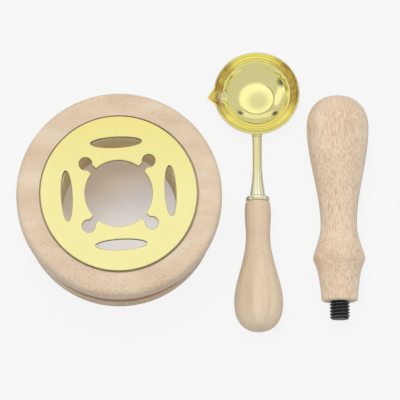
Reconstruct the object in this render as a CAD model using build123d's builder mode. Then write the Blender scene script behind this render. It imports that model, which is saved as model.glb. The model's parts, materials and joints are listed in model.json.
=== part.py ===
from build123d import *
from math import asin, atan2, cos, degrees, hypot, radians, sin
import os

# A wax seal set laid out on a table, in millimetres: a turned wooden melting stove with a loose
# brass plate, a melting spoon and a stamp handle. The origin is on the table, on the stove's axis.
# +X points across the set, +Y away from its front and +Z up.

os.makedirs("parts", exist_ok=True)

# ---------------------------------------------------------------- melting stove
stove_height = 40.0
flange_radius = 40.0
flange_thickness = 10.0
flange_top_round = 2.2
flange_under_round = 0.8
base_radius = 37.45
base_thickness = 7.0
base_round = 1.2
cove_edge_radius = 34.5        # where the hollow of the waist meets the two flanges
waist_radius = 30.5            # thinnest part of the waist
bore_radius = 22.4             # a tealight cup stands in this bore
plate_proud = 0.5              # how far the plate stands above the wood
plate_side_gap = 0.5           # radial clearance of the plate in its recess

# ---------------------------------------------------------------- brass plate
plate_radius = 30.5
plate_thickness = 2.0
plate_edge_round = 0.4
plate_drift = (-0.15, 0.15)    # the loose plate lies a little off centre
pattern_turn = 3.0             # degrees that the cut pattern is turned
plate_hole_radius = 13.15
slot_count = 4
slot_circle_radius = 20.2
slot_length = 20.0
slot_width = 4.3
keyhole_circle_radius = 17.4
keyhole_radius = 2.55
keyhole_neck = 2.7

# ---------------------------------------------------------------- melting spoon
bowl_wall = 0.8
well_radius = 11.5             # round floor of the bowl, measured inside
well_depth = 3.02              # rise of the floor from its middle to its edge
ridge_radius = 12.9            # crest between the floor and the groove
ridge_height = 4.75            # heights of the wall are above the middle of the floor
ridge_round = 0.4
groove_radius = 14.3
groove_height = 2.95
groove_round = 0.3
rim_radius = 16.0
rim_height = 5.4
lip_round = 0.3
bowl_tilt = 2.2                # degrees between the rim and the handle's line
spout_angle = 86.0             # degrees from the stem to the pouring lip
spout_root = 10.4              # the lip's trough leaves the round floor here
spout_reach = 19.2
spout_root_width = 14.4
spout_tip_width = 1.8
spout_wall = 0.9
trough_root_height = 2.45      # bottom of the trough, above the middle of the floor
trough_tip_height = 4.2
trough_slope = 0.6             # rise of the trough's two sides
trough_headroom = 3.0
socket_height = 3.3            # height of the stem's line above the lowest point of the bowl
socket_radius = 2.25
socket_root = 12.0             # the socket is brazed to the bowl from here
socket_reach = 16.9            # from the bowl's axis to the face that carries the stem
rod_radius = 1.78
rod_length = 12.2
ferrule_length = 11.95
ferrule_radius = 3.1
ferrule_flare = 0.25           # slope of the ferrule where it meets the bead
flange_bead_radius = 4.75
flange_bead_length = 2.2
tang_radius = 1.6
tang_length = 20.0
spoon_handle_length = 52.0
spoon_mouth_radius = 4.6
spoon_bead_radius = 5.12       # raised band behind the ferrule
spoon_bead_along = 4.5
spoon_waist_radius = 4.75
spoon_waist_along = 13.6
spoon_flank_radius = 7.02
spoon_flank_along = 27.1
spoon_swell_radius = 8.65      # grip filling out to the belly
spoon_swell_along = 33.5
spoon_belly_radius = 9.55
spoon_belly_along = 40.2
spoon_cheek_radius = 7.9       # keeps the end full and round
spoon_cheek_along = 47.95
belly_flank_drop = 0.1         # how much lower the tilted belly reaches than its widest ring

# ---------------------------------------------------------------- stamp handle
stamp_length = 81.1
stamp_crown_radius = 9.3       # keeps the top of the head full and round
stamp_crown_along = 4.2
stamp_head_radius = 12.1
stamp_head_along = 12.6
stamp_neck_radius = 7.1
stamp_neck_along = 50.8
stamp_rise_radius = 9.2        # slope up to the collar
stamp_rise_along = 60.5
stamp_collar_radius = 10.15
stamp_collar_along = 64.1
stamp_fall_radius = 9.25       # slope down from the collar
stamp_fall_along = 67.3
stamp_waist_radius = 8.0       # hollow between the collar and the foot
stamp_waist_along = 72.1
stamp_foot_radius = 7.15
stamp_foot_round = 0.8
stud_radius = 4.0              # M8
stud_length = 7.1              # threaded length outside the wood
stud_shank_radius = 3.5        # plain end that is driven into the wood
stud_shank_length = 14.0
stud_chamfer = 0.6
head_flank_drop = 0.04         # how much lower the tilted head reaches than its widest ring
tip_clearance = 1.0            # space left at the bottom of both blind holes

# ---------------------------------------------------------------- layout on the table
spoon_gap = 4.05               # between the stove's flange and the spoon's belly
spoon_bowl_y = 46.0
stamp_gap = 2.55               # between the spoon's bowl and the stamp's head
stamp_top_y = 44.1
spoon_turn = 0.5               # degrees that each handle is turned on the table
stamp_turn = 0.65


def turned(plane, angle):
    """The same plane turned by an angle in degrees about its own Z."""
    return Plane(plane.location * Rotation(0, 0, angle))


def lying_plane(origin, turn, pitch):
    """Upright plane along something that lies towards -Y: X along it, Y up."""
    along = (sin(radians(turn)), -cos(radians(turn)), 0)
    sideways = (-cos(radians(turn)), -sin(radians(turn)), 0)
    return turned(Plane(origin=origin, x_dir=along, z_dir=sideways), pitch)


# The spoon rests on the round floor of its bowl and on the belly of its handle. The floor is part
# of a sphere, so its centre and the belly's centre give the pitch of the spoon's line.
bowl_edge = rim_radius + bowl_wall
spoon_x = flange_radius + spoon_gap + spoon_belly_radius
floor_sphere = (well_radius**2 + well_depth**2) / (2 * well_depth) + bowl_wall
sphere_along = (socket_height - floor_sphere) * sin(radians(bowl_tilt))
sphere_above = (floor_sphere - socket_height) * cos(radians(bowl_tilt))
handle_start = socket_reach + rod_length + ferrule_length + flange_bead_length
belly_reach = handle_start + spoon_belly_along - sphere_along
spoon_pitch = degrees(
    asin((spoon_belly_radius + belly_flank_drop - floor_sphere) / hypot(belly_reach, sphere_above))
    + atan2(sphere_above, belly_reach)
)
pitch = radians(spoon_pitch)
spoon_z = floor_sphere - sphere_along * sin(pitch) - sphere_above * cos(pitch)
spoon_plane = lying_plane((spoon_x, spoon_bowl_y, spoon_z), spoon_turn, spoon_pitch)
spoon_axis = Axis(spoon_plane.origin, spoon_plane.x_dir)

# The bowl's own plane: X towards the stem, Y up its axis, origin at its lowest point.
bowl_origin = spoon_plane.from_local_coords(
    (socket_height * sin(radians(bowl_tilt)), -socket_height * cos(radians(bowl_tilt)), 0)
)
bowl_plane = turned(
    Plane(origin=bowl_origin, x_dir=spoon_plane.x_dir, z_dir=spoon_plane.z_dir), bowl_tilt
)
bowl_axis = Axis(bowl_plane.origin, bowl_plane.y_dir)

# The stamp rests on its head and on its collar, so its line falls towards the stud.
stamp_x = spoon_x + bowl_edge + stamp_gap + stamp_head_radius
stamp_fall = asin((stamp_head_radius - stamp_collar_radius) / (stamp_collar_along - stamp_head_along))
stamp_z = stamp_head_radius + head_flank_drop + stamp_head_along * sin(stamp_fall)
stamp_plane = lying_plane((stamp_x, stamp_top_y, stamp_z), stamp_turn, -degrees(stamp_fall))
stamp_axis = Axis(stamp_plane.origin, stamp_plane.x_dir)


def across(plane, distance):
    """Plane square to the line of something that lies, at a distance along it."""
    return Plane(
        origin=plane.from_local_coords((distance, 0, 0)), x_dir=plane.z_dir, z_dir=plane.x_dir
    )


# ---------------------------------------------------------------- stove body
recess_depth = plate_thickness - plate_proud
recess_radius = plate_radius + plate_side_gap
waist_height = (base_thickness + stove_height - flange_thickness) / 2

with BuildPart() as stove_body:
    with BuildSketch(Plane.XZ) as stove_profile:
        with BuildLine():
            under = Polyline(
                (bore_radius, stove_height - recess_depth),
                (bore_radius, 0),
                (base_radius, 0),
                (base_radius, base_thickness),
                (cove_edge_radius, base_thickness),
            )
            cove = ThreePointArc(
                under @ 1,
                (waist_radius, waist_height),
                (cove_edge_radius, stove_height - flange_thickness),
            )
            Polyline(
                cove @ 1,
                (flange_radius, stove_height - flange_thickness),
                (flange_radius, stove_height),
                (recess_radius, stove_height),
                (recess_radius, stove_height - recess_depth),
                under @ 0,
            )
        make_face()
        flange_rim = stove_profile.vertices().group_by(Axis.X)[-1].sort_by(Axis.Y)
        fillet(flange_rim[0], flange_under_round)
        fillet(flange_rim[1], flange_top_round)
        base_rim = stove_profile.vertices().filter_by(lambda v: abs(v.X - base_radius) < 0.01)
        fillet(base_rim, base_round)
    revolve(axis=Axis.Z)
stove_body.part.label = "stove_body"
export_step(stove_body.part, "parts/stove_body.step")

# ---------------------------------------------------------------- stove plate
with BuildPart() as stove_plate:
    with BuildSketch(Plane.XY.offset(stove_height - recess_depth)):
        with Locations(plate_drift):
            Circle(plate_radius)
            Circle(plate_hole_radius, mode=Mode.SUBTRACT)
            with PolarLocations(slot_circle_radius, slot_count, start_angle=pattern_turn):
                Ellipse(slot_width / 2, slot_length / 2, mode=Mode.SUBTRACT)
            keyhole_start = pattern_turn + 180 / slot_count
            with PolarLocations(keyhole_circle_radius, slot_count, start_angle=keyhole_start):
                Circle(keyhole_radius, mode=Mode.SUBTRACT)
            with PolarLocations(plate_hole_radius, slot_count, start_angle=keyhole_start):
                neck_reach = keyhole_circle_radius - plate_hole_radius
                Rectangle(2 * neck_reach, keyhole_neck, mode=Mode.SUBTRACT)
    extrude(amount=plate_thickness)
    plate_rim = stove_plate.edges().filter_by(GeomType.CIRCLE).group_by(SortBy.RADIUS)[-1]
    fillet(plate_rim.sort_by(Axis.Z)[-1], plate_edge_round)
stove_plate.part.label = "stove_plate"
export_step(stove_plate.part, "parts/stove_plate.step")


# ---------------------------------------------------------------- spoon bowl
def bowl_inside():
    """Inside of the bowl from its axis: round floor, ridge, groove and rim."""
    floor = TangentArc((0, bowl_wall), (well_radius, bowl_wall + well_depth), tangent=(1, 0))
    return FilletPolyline(
        floor @ 1,
        (ridge_radius, bowl_wall + ridge_height),
        (groove_radius, bowl_wall + groove_height),
        (rim_radius, bowl_wall + rim_height),
        radius=(ridge_round, groove_round),
    )


# Planes square to the pouring lip: X across it, Y up the bowl's axis.
spout_frame = turned(
    Plane(origin=bowl_plane.origin, x_dir=bowl_plane.x_dir, z_dir=bowl_plane.y_dir), -spout_angle
)


def spout_section(distance, bottom, width, height):
    """Folded V across the spout at a distance from the bowl's axis, reaching up or down."""
    section = Plane(
        origin=spout_frame.from_local_coords((distance, 0, 0)),
        x_dir=spout_frame.y_dir,
        z_dir=spout_frame.x_dir,
    )
    edge = bottom + trough_slope * width / 2
    with BuildSketch(section) as vee:
        with BuildLine():
            Polyline(
                (-width / 2, edge),
                (0, bottom),
                (width / 2, edge),
                (width / 2, edge + height),
                (0, bottom + height),
                (-width / 2, edge + height),
                close=True,
            )
        make_face()
    return vee.sketch.face()


def spout_sections(height):
    """The two ends of the pouring trough."""
    return [
        spout_section(spout_root, bowl_wall + trough_root_height, spout_root_width, height),
        spout_section(spout_reach, bowl_wall + trough_tip_height, spout_tip_width, height),
    ]


with BuildPart() as spoon_bowl:
    # Socket for the stem and folded pouring lip, both trimmed to the inside of the bowl.
    with BuildSketch(across(spoon_plane, socket_root)):
        Circle(socket_radius)
    extrude(amount=socket_reach - socket_root)
    loft(spout_sections(-spout_wall))
    with BuildSketch(bowl_plane):
        with BuildLine():
            inside = bowl_inside()
            open_top = bowl_wall + rim_height + trough_headroom
            Polyline(inside @ 1, (rim_radius, open_top), (0, open_top), (0, bowl_wall))
        make_face()
    revolve(axis=bowl_axis, mode=Mode.SUBTRACT)
    # The wall itself.
    with BuildSketch(bowl_plane) as bowl_profile:
        with BuildLine():
            bowl_inside()
            offset(amount=bowl_wall, side=Side.RIGHT)
        make_face()
        fillet(bowl_profile.vertices().sort_by(Axis.X)[-2:], lip_round)
    revolve(axis=bowl_axis)
    # The trough opens the ridge and the rim.
    loft(spout_sections(trough_headroom), mode=Mode.SUBTRACT)
spoon_bowl.part.label = "spoon_bowl"
export_step(spoon_bowl.part, "parts/spoon_bowl.step")

# ---------------------------------------------------------------- spoon stem
with BuildPart() as spoon_stem:
    with BuildSketch(spoon_plane):
        with BuildLine():
            rod = Polyline(
                (handle_start + tang_length, 0),
                (socket_reach, 0),
                (socket_reach, rod_radius),
                (socket_reach + rod_length, rod_radius),
            )
            bead_start = handle_start - flange_bead_length
            ferrule = Spline(
                rod @ 1,
                (bead_start, ferrule_radius),
                tangents=((1, 0), (1, ferrule_flare)),
            )
            bead_edge = flange_bead_radius - flange_bead_length / 2
            bead = Polyline(ferrule @ 1, (bead_start, bead_edge))
            nose = ThreePointArc(
                bead @ 1,
                ((bead_start + handle_start) / 2, flange_bead_radius),
                (handle_start, bead_edge),
            )
            Polyline(
                nose @ 1,
                (handle_start, tang_radius),
                (handle_start + tang_length, tang_radius),
                (handle_start + tang_length, 0),
            )
        make_face()
    revolve(axis=spoon_axis)
spoon_stem.part.label = "spoon_stem"
export_step(spoon_stem.part, "parts/spoon_stem.step")

# ---------------------------------------------------------------- spoon handle
with BuildPart() as spoon_handle:
    with BuildSketch(spoon_plane) as handle_profile:
        with BuildLine():
            start = Polyline(
                (handle_start + spoon_handle_length, 0),
                (handle_start, 0),
                (handle_start, spoon_mouth_radius),
            )
            grip = Spline(
                start @ 1,
                (handle_start + spoon_bead_along, spoon_bead_radius),
                (handle_start + spoon_waist_along, spoon_waist_radius),
                (handle_start + spoon_flank_along, spoon_flank_radius),
                (handle_start + spoon_swell_along, spoon_swell_radius),
                (handle_start + spoon_belly_along, spoon_belly_radius),
                tangents=((1, 1), (1, 0)),
            )
            Spline(
                grip @ 1,
                (handle_start + spoon_cheek_along, spoon_cheek_radius),
                start @ 0,
                tangents=((1, 0), (0, -1)),
            )
        make_face()
    revolve(axis=spoon_axis)
    with BuildSketch(across(spoon_plane, handle_start)):
        Circle(tang_radius)
    extrude(amount=tang_length + tip_clearance, mode=Mode.SUBTRACT)
spoon_handle.part.label = "spoon_handle"
export_step(spoon_handle.part, "parts/spoon_handle.step")

# ---------------------------------------------------------------- stamp handle
with BuildPart() as stamp_handle:
    with BuildSketch(stamp_plane) as stamp_profile:
        with BuildLine():
            head = Spline(
                (0, 0),
                (stamp_crown_along, stamp_crown_radius),
                (stamp_head_along, stamp_head_radius),
                tangents=((0, 1), (1, 0)),
            )
            neck = Spline(
                head @ 1,
                (stamp_neck_along, stamp_neck_radius),
                tangents=((1, 0), (1, 0)),
            )
            collar = Spline(
                neck @ 1,
                (stamp_rise_along, stamp_rise_radius),
                (stamp_collar_along, stamp_collar_radius),
                tangents=((1, 0), (1, 0)),
            )
            skirt = Spline(
                collar @ 1,
                (stamp_fall_along, stamp_fall_radius),
                (stamp_waist_along, stamp_waist_radius),
                (stamp_length, stamp_foot_radius),
                tangents=((1, 0), (1, 0)),
            )
            foot = Polyline(skirt @ 1, (stamp_length, 0), (0, 0))
        make_face()
        fillet(stamp_profile.vertices().sort_by_distance(foot @ 0)[0], stamp_foot_round)
    revolve(axis=stamp_axis)
    with BuildSketch(across(stamp_plane, stamp_length - stud_shank_length - tip_clearance)):
        Circle(stud_shank_radius)
    extrude(amount=stud_shank_length + tip_clearance, mode=Mode.SUBTRACT)
stamp_handle.part.label = "stamp_handle"
export_step(stamp_handle.part, "parts/stamp_handle.step")

# ---------------------------------------------------------------- stamp stud
with BuildPart() as stamp_stud:
    with BuildSketch(across(stamp_plane, stamp_length - stud_shank_length)):
        Circle(stud_shank_radius)
    extrude(amount=stud_shank_length)
    with BuildSketch(across(stamp_plane, stamp_length)):
        Circle(stud_radius)
    extrude(amount=stud_length)
    stud_tip = stamp_stud.faces().sort_by(stamp_axis)[-1]
    chamfer(stud_tip.edges(), stud_chamfer)
stamp_stud.part.label = "stamp_stud"
export_step(stamp_stud.part, "parts/stamp_stud.step")
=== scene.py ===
import json
from math import asin, atan2, cos, pi, radians, sin, sqrt, tan

import bpy
from mathutils import Matrix, Vector


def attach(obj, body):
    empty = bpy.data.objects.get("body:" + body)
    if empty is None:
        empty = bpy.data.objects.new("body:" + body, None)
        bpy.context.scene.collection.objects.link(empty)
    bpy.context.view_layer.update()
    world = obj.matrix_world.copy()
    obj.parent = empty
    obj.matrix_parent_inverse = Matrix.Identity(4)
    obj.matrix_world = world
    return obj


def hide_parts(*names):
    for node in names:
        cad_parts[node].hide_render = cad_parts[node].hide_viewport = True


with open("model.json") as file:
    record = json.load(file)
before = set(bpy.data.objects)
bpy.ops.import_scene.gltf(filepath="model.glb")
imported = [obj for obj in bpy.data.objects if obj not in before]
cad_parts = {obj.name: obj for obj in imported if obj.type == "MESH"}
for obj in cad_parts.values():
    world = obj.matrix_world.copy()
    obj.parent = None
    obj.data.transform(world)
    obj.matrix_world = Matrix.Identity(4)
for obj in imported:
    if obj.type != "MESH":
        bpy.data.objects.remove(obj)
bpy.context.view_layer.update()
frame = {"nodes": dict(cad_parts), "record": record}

# Wax seal set: a melting stove with its brass plate, a melting spoon and a stamp handle.
MM = 0.001
nodes = frame["nodes"]
mounts = {m["name"]: m for m in frame["record"]["mounts"]}

# ------------------------------------------------------------------ sizes, in millimetres
# A pair in the bowl is (radius, height); a pair on a handle is (along, radius).
ON_AXIS = 1e-6

# Stove body, about its own axis
STOVE_HEIGHT = 40.0
FLANGE_RADIUS = 40.0
FLANGE_THICKNESS = 10.0
FLANGE_TOP_ROUND = 2.2
FLANGE_UNDER_ROUND = 0.8
BASE_RADIUS = 37.45
BASE_THICKNESS = 7.0
BASE_ROUND = 1.2
COVE_EDGE_RADIUS = 34.5
WAIST_RADIUS = 30.5
COVE_STEPS = 28
BORE_RADIUS = 22.4
RECESS_RADIUS = 31.0
RECESS_DEPTH = 1.5
RECESS_CORNER = 0.1
SOFT_EDGE = 0.35

# Brass plate
PLATE_RADIUS = 30.5
PLATE_THICKNESS = 2.0
PLATE_EDGE = 0.3
PLATE_HOLE_RADIUS = 13.15
PLATE_DRIFT = (-0.15, 0.15)
PATTERN_TURN = radians(3.0)
SLOT_CIRCLE = 20.2
SLOT_LENGTH = 20.0
SLOT_WIDTH = 4.3
KEYHOLE_CIRCLE = 17.4
KEYHOLE_RADIUS = 2.55
KEYHOLE_NECK = 2.7
KEYHOLE_CORNER = 0.45

# Spoon, along its own line from the bowl's axis
BOWL_TILT = radians(2.2)
SOCKET_HEIGHT = 3.3
SOCKET_ROOT = 12.0
SOCKET_RADIUS = 2.0
SOCKET_EDGE = 0.25
SOCKET_REACH = 16.9
SOCKET_BITE = 0.48
BOWL_WALL = 0.8
BOWL_FLOOR_SPHERE = 23.4
BOWL_WELL = (11.5, 3.02)
BOWL_WELL_ROUND = 0.9
BOWL_RIDGE = (12.9, 4.75)
BOWL_RIDGE_ROUND = 0.4
BOWL_GROOVE = (14.3, 2.95)
BOWL_GROOVE_ROUND = 0.3
BOWL_RIM = (16.0, 5.4)
RIM_DISH = 0.25
SPOUT_ANGLE = radians(86.0)
SPOUT_REACH = 2.5
SPOUT_WIDTH = 6.4
SPOUT_START = 13.4
SPOUT_TAPER = 1.2
SPOUT_SECTOR = radians(45.0)
TROUGH_FOOT = (10.0, 2.2)
TROUGH_TIP = (19.0, 4.2)
TROUGH_SLOPE = 0.6
TROUGH_START = 9.0
TROUGH_EASE = 3.0
TROUGH_BLEND = 0.4
ROD_RADIUS = 1.78
ROD_END = 29.1
FERRULE_END = 41.05
FERRULE_RADIUS = 3.1
FERRULE_SLOPES = (0.03, 0.17)
HANDLE_START = 43.25
FLANGE_BEAD_RADIUS = 4.75
TANG_RADIUS = 1.6
TANG_LENGTH = 20.0
SPOON_HANDLE_LENGTH = 52.0
SPOON_NOSE_ROUND = 1.0
SPOON_NOSE_RADIUS = 4.85
SPOON_BEAD_START = (2.25, 5.0)
SPOON_BEAD_SLOPE = 0.1
SPOON_BEAD = (4.5, 5.12)
SPOON_WAIST = (13.6, 4.75)
SPOON_FLANK = (27.1, 7.02)
SPOON_FLANK_SLOPE = 0.27
SPOON_BELLY = (40.2, 9.55)
BELLY_FULLNESS = 2.35

# Stamp, along its own line from the top of its head
STAMP_HEAD = (12.6, 12.1)
HEAD_FULLNESS = 2.2
STAMP_NECK = (50.8, 7.1)
STAMP_COLLAR = (64.1, 10.15)
COLLAR_HALF_WIDTH = 3.0
COLLAR_DROPS = (0.72, 0.92)
COLLAR_SLOPE = 0.36
COLLAR_FOOT_SLOPE = -0.34
STAMP_WAIST = (72.1, 8.0)
STAMP_WAIST_SLOPE = -0.15
STAMP_FOOT_SLOPE = -0.05
STAMP_LENGTH = 81.1
STAMP_FOOT_RADIUS = 7.15
STAMP_FOOT_ROUND = 0.9
STUD_RADIUS = 4.0
STUD_LENGTH = 7.1
STUD_SHANK_RADIUS = 3.5
STUD_BURIED = 14.0
STUD_CHAMFER = 0.6
THREAD_PITCH = 1.25
THREAD_DEPTH = 0.68
THREAD_CREST = 0.12
THREAD_FLANK = 0.76
THREAD_ROOT = 0.85
THREAD_RUN_OUT = 0.78
TIP_CLEARANCE = 1.0
END_FACE_BAND = 0.3


# ------------------------------------------------------------------ outlines
def rounded(corners, steps=6):
    """Points of an open outline whose corners (radius, height, rounding) are replaced by arcs."""
    points = []
    for index, (x, y, rounding) in enumerate(corners):
        if rounding == 0 or index in (0, len(corners) - 1):
            points.append((x, y))
            continue
        here = Vector((x, y))
        before = (Vector(corners[index - 1][:2]) - here).normalized()
        after = (Vector(corners[index + 1][:2]) - here).normalized()
        half = before.angle(after) / 2
        centre = here + (before + after).normalized() * rounding / sin(half)
        first = here + before * rounding / tan(half) - centre
        last = here + after * rounding / tan(half) - centre
        for step in range(steps + 1):
            spoke = first.lerp(last, step / steps).normalized() * rounding
            points.append(tuple(centre + spoke))
    return points


def swept(start, end, slope_start=0.0, slope_end=0.0, steps=24):
    """Smooth outline (along, radius) between two stations with the given slopes, start left out."""
    span = end[0] - start[0]
    points = []
    for step in range(1, steps + 1):
        t = step / steps
        rise = (3 - 2 * t) * t * t
        lean = t * (1 - t) ** 2 * span * slope_start - t * t * (1 - t) * span * slope_end
        points.append((start[0] + span * t, start[1] + (end[1] - start[1]) * rise + lean))
    return points


def dome(belly, tip, fullness, steps=32):
    """Outline (along, radius) of a full round end from its widest station to its tip."""
    points = []
    for step in range(steps + 1):
        turn = pi / 2 * step / steps
        share = sin(turn) ** (2 / fullness)
        radius = belly[1] * cos(turn) ** (2 / fullness) if step < steps else 0.0
        points.append((belly[0] + (tip - belly[0]) * share, radius))
    return points


# ------------------------------------------------------------------ mesh helpers
def new_object(name, vertices, faces, place, sharp=radians(40)):
    """Mesh object of points in millimetres, set at a place in the row frame."""
    mesh = bpy.data.meshes.new(name)
    mesh.from_pydata([tuple(c * MM for c in v) for v in vertices], [], faces)
    mesh.validate()
    mesh.shade_smooth()
    mesh.set_sharp_from_angle(angle=sharp)
    piece = bpy.data.objects.new(name, mesh)
    bpy.context.scene.collection.objects.link(piece)
    piece.matrix_world = place
    return piece


def skin(rings):
    """Faces between rings of vertex numbers. A ring of one number is a tip on the axis."""
    faces = []
    for lower, upper in zip(rings, rings[1:]):
        count = max(len(lower), len(upper))
        for step in range(count):
            after = (step + 1) % count
            if len(lower) == 1:
                faces.append((lower[0], upper[after], upper[step]))
            elif len(upper) == 1:
                faces.append((lower[step], lower[after], upper[0]))
            else:
                faces.append((lower[after], upper[after], upper[step], lower[step]))
    return faces


def tube_faces(rings, steps):
    """Faces of a tube of rings with as many points each, closed at both ends."""
    faces = []
    for ring in range(rings - 1):
        for step in range(steps):
            after = (step + 1) % steps
            a, b = ring * steps, (ring + 1) * steps
            faces.append((a + step, a + after, b + after, b + step))
    last = (rings - 1) * steps
    faces.append(tuple(range(last, last + steps)))
    faces.append(tuple(reversed(range(steps))))
    return faces


def lathe(name, outline, place, steps, closed=False, sharp=radians(40)):
    """Turned piece: outline of (radius, along) points about the local Z axis."""
    vertices = []
    rings = []
    for radius, along in outline:
        if radius < ON_AXIS:
            rings.append([len(vertices)])
            vertices.append((0, 0, along))
        else:
            rings.append(list(range(len(vertices), len(vertices) + steps)))
            for step in range(steps):
                angle = 2 * pi * step / steps
                vertices.append((radius * cos(angle), radius * sin(angle), along))
    faces = skin(rings + rings[:1] if closed else rings)
    return new_object(name, vertices, faces, place, sharp)


def place_along(origin, along):
    """Place whose Z runs along a line, with Y as near to upright as that allows."""
    z = along.normalized()
    x = Vector((0, 0, 1)).cross(z).normalized()
    y = z.cross(x)
    matrix = Matrix((x, y, z)).transposed().to_4x4()
    matrix.translation = origin
    return matrix


def dress(piece, body, material, slot, *replaced):
    """Gives a piece its material, ties it to its body and hides the nodes it stands for. The slot is not
    used.
    """
    piece.data.materials.clear()
    piece.data.materials.append(material)
    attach(piece, body)
    if replaced:
        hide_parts(*replaced)


# ------------------------------------------------------------------ material helpers
def new_material(name):
    """Material with its node tree and its shader."""
    material = bpy.data.materials.new(name)
    material.use_nodes = True
    tree = material.node_tree
    shader = tree.nodes["Principled BSDF"]
    return material, tree, shader


def add(tree, kind, **settings):
    """New node whose settings go to its inputs of that name, or else to the node itself."""
    node = tree.nodes.new(kind)
    for key, value in settings.items():
        if key in node.inputs:
            node.inputs[key].default_value = value
        else:
            setattr(node, key, value)
    return node


def scaled(tree, scale):
    """Object coordinates in millimetres, times a scale for each axis."""
    place = add(tree, "ShaderNodeTexCoord")
    mapping = add(tree, "ShaderNodeMapping")
    mapping.inputs["Scale"].default_value = tuple(s / MM for s in scale)
    tree.links.new(place.outputs["Object"], mapping.inputs["Vector"])
    return mapping.outputs["Vector"]


def coordinate(tree, axis):
    """One object coordinate, in millimetres."""
    place = add(tree, "ShaderNodeSeparateXYZ")
    tree.links.new(scaled(tree, (1.0, 1.0, 1.0)), place.inputs["Vector"])
    return place.outputs[axis]


def length_of(tree, vector):
    """Length of a vector socket's value."""
    node = add(tree, "ShaderNodeVectorMath", operation="LENGTH")
    tree.links.new(vector, node.inputs[0])
    return node.outputs["Value"]


def noise(tree, vector, detail=3.0, roughness=0.5):
    """Noise whose clumps are about as large as one unit of the vector."""
    node = add(tree, "ShaderNodeTexNoise", Scale=1.0, Detail=detail, Roughness=roughness)
    tree.links.new(vector, node.inputs["Vector"])
    return node.outputs["Fac"]


def span(tree, value, low, high, out_low=0.0, out_high=1.0):
    """Value between low and high mapped to the output range, and held there."""
    node = add(tree, "ShaderNodeMapRange")
    node.inputs["From Min"].default_value = low
    node.inputs["From Max"].default_value = high
    node.inputs["To Min"].default_value = out_low
    node.inputs["To Max"].default_value = out_high
    tree.links.new(value, node.inputs["Value"])
    return node.outputs["Result"]


def maths(tree, operation, first, second=None):
    """Result of a maths node on one or two values; each is a number or a socket."""
    node = add(tree, "ShaderNodeMath", operation=operation)
    for socket, value in zip(node.inputs, (first, second)):
        if value is None:
            continue
        if isinstance(value, (int, float)):
            socket.default_value = value
        else:
            tree.links.new(value, socket)
    return node.outputs["Value"]


def blend_colour(tree, factor, first, second):
    """Colour between two colours, by a factor; each is plain or a socket."""
    node = add(tree, "ShaderNodeMix", data_type="RGBA")
    slots = {"Factor_Float": factor, "A_Color": first, "B_Color": second}
    for socket in node.inputs:
        if socket.identifier in slots:
            value = slots[socket.identifier]
            if isinstance(value, (int, float)):
                socket.default_value = value
            elif isinstance(value, tuple):
                socket.default_value = (*value, 1.0)
            else:
                tree.links.new(value, socket)
    return [o for o in node.outputs if o.identifier == "Result_Color"][0]


def linear(red, green, blue):
    """Linear colour of a colour given as it looks on a screen, 0 to 255."""
    return tuple(((c / 255 + 0.055) / 1.055) ** 2.4 for c in (red, green, blue))


# ------------------------------------------------------------------ materials
# Wood: scales are clumps a millimetre (across, along) the grain, shares are weights in the tone
CLOUD_SCALE = (0.09, 0.05)
WANDER_SCALE = (0.05, 0.012)
FIBRE_SCALE = (3.2, 0.16)
CROWD_SCALE = (0.11, 0.05)
RING_HEART = (4.0, 34.0, -60.0)
RING_WANDER = 9.0
RINGS_PER_MM = 0.3
BROAD_SHARE = 0.9
CLOUD_SHARE = 0.6
TONE_RANGE = (0.55, 1.05)
FLECK_CROWDING = 0.22
FLECK_DEPTH = 0.8
WOOD_BUMP = {"Strength": 0.1, "Distance": 0.0001}
WOOD_ROUGHNESS = (0.5, 0.66)
WOOD_SPECULAR = 0.4
WOOD_SHEEN = 0.3
SHEEN_ROUGHNESS = 0.4
# Painted shade: the stove's wood darkens towards its fleck colour at the foot of the cove.
COVE_SHADE_START = (BASE_THICKNESS - 0.3, BASE_THICKNESS - 0.05)
COVE_SHADE_END = (8.0, 15.0)
COVE_SHADE_SHARE = 0.8
# Painted light: the bore's wall is brighter and more orange, as if lit through the plate's holes.
BORE_WALL_LIGHT_SKIN = (BORE_RADIUS + 0.1, BORE_RADIUS + 0.6)
BORE_WALL_PAINTED_LIGHT = (1.0, 0.86, 0.58)
BORE_WALL_PAINTED_LIGHT_SHARE = 0.75

# Metal
BRASS_CLOUDS = (0.09, 0.09, 0.09)
POLISH_BUMP = {"Strength": 0.02, "Distance": 0.00002}
# Painted reflection: a darker, warmer brown on the bowl's rim at the lip's side and across from it.
RIM_REFLECTION_PATCHES = (0.35, 0.35, 0.35)
RIM_REFLECTION_LEAN = radians(16.0)
RIM_REFLECTION_SIDES = (0.62, 0.93)
RIM_REFLECTION_START = (13.6, 14.6)
RIM_REFLECTION_END = (16.2, 17.2)
# Painted reflection: a more saturated gold across the pouring lip.
LIP_PAINTED_REFLECTION = (1.0, 0.8, 0.16)
LIP_REFLECTION_SPAN = (15.6, 17.0)
CLOUD_IN_LEAN = 0.15
# Painted shade: how far from upright a face may turn and still be darkened.
EDGE_SHADE_FACING = (0.3, 0.6)
BLACK_OXIDE = (0.012, 0.014, 0.016)
WORN_STEEL_AND_HIGHLIGHT = (0.12, 0.13, 0.145)
OXIDE_SPECKLES = (1.5, 1.5, 1.5)
OXIDE_METALLIC = 0.35
OXIDE_ROUGHNESS = (0.2, 0.34)


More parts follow.
